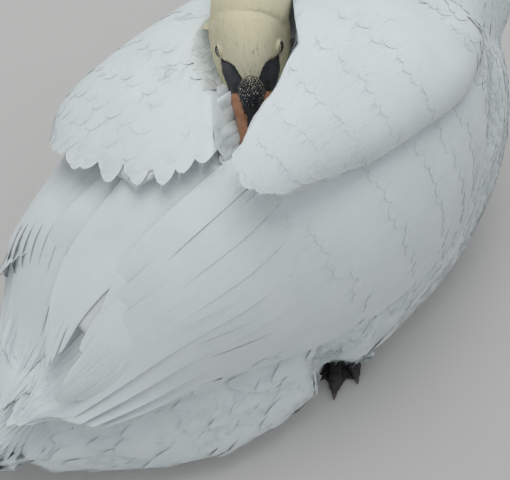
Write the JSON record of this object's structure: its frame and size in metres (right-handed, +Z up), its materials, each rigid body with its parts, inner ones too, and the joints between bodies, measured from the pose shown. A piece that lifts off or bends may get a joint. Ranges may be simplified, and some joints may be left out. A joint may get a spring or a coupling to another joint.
{
  "type": "mute swan",
  "caption": "Life-size still model of a white mute swan asleep on its belly, neck folded back over its left shoulder and bill tucked under the scapulars.",
  "frame": {"origin": "middle of the flat of the belly, on the floor the bird rests on", "axes": "+Z up, -Y the way the breast faces, +Y towards the tail, +X the bird's left"},
  "size_m": [0.3882, 0.7835, 0.3968],
  "materials": {
    "plumage": "soft white body feathers",
    "flight_feather": "smooth white vanes",
    "bill": "satin horn, orange",
    "bill_black": "satin horn and bare skin, black",
    "eye": "wet, very dark brown",
    "claw": "horn, grey",
    "foot": "scaly skin, slate black"
  },
  "bodies": {
    "root": {"trunk": "plumage", "neck_lower": "plumage", "neck_middle": "plumage", "neck_upper": "plumage", "head": "plumage", "wing_left": "plumage", "wing_right": "plumage", "scapulars_left": "plumage", "scapulars_right": "plumage", "primaries_left": "flight_feather", "primaries_right": "flight_feather", "tail": "flight_feather", "bill_upper": "bill", "bill_lower": "bill", "bill_knob": "bill_black", "bill_nail": "bill_black", "eye_left": "eye", "eye_right": "eye", "leg_left": "foot", "leg_right": "foot", "foot_left": "foot", "foot_right": "foot"}
  },
  "joints": []
}
